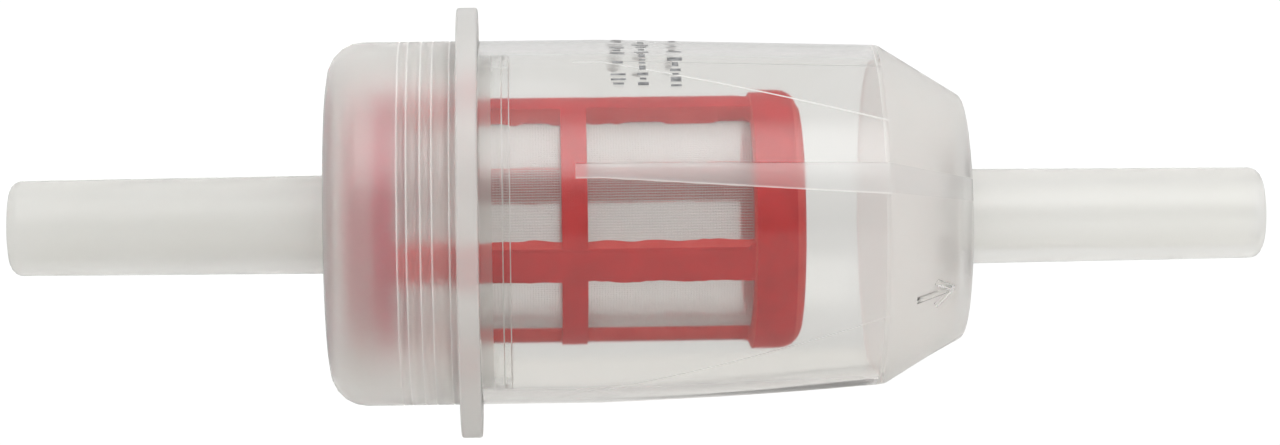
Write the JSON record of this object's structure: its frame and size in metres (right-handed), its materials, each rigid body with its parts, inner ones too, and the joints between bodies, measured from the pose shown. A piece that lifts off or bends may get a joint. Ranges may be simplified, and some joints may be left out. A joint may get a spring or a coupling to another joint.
{
  "type": "inline fuel filter",
  "caption": "Inline fuel filter for a small engine: milky cap and clear bowl welded at a flange around a red caged screen, with a hose nipple at each end.",
  "frame": {"origin": "on the filter's axis, halfway between the two nipple tips (the centre of its box)", "axes": "+X along the axis in the direction of flow, from the inlet cap to the outlet bowl; one of the bowl's three flats faces -Z"},
  "size_m": [0.09, 0.0308, 0.0308],
  "materials": {
    "milky_plastic": "satin, translucent milky",
    "clear_plastic": "gloss, clear with a slight haze",
    "red_plastic": "satin red moulding",
    "nylon_mesh": "fine white woven nylon"
  },
  "bodies": {
    "root": {"inlet_cap": "milky_plastic", "outlet_bowl": "clear_plastic", "screen_cage": "red_plastic", "screen_mesh": "nylon_mesh"}
  },
  "joints": []
}
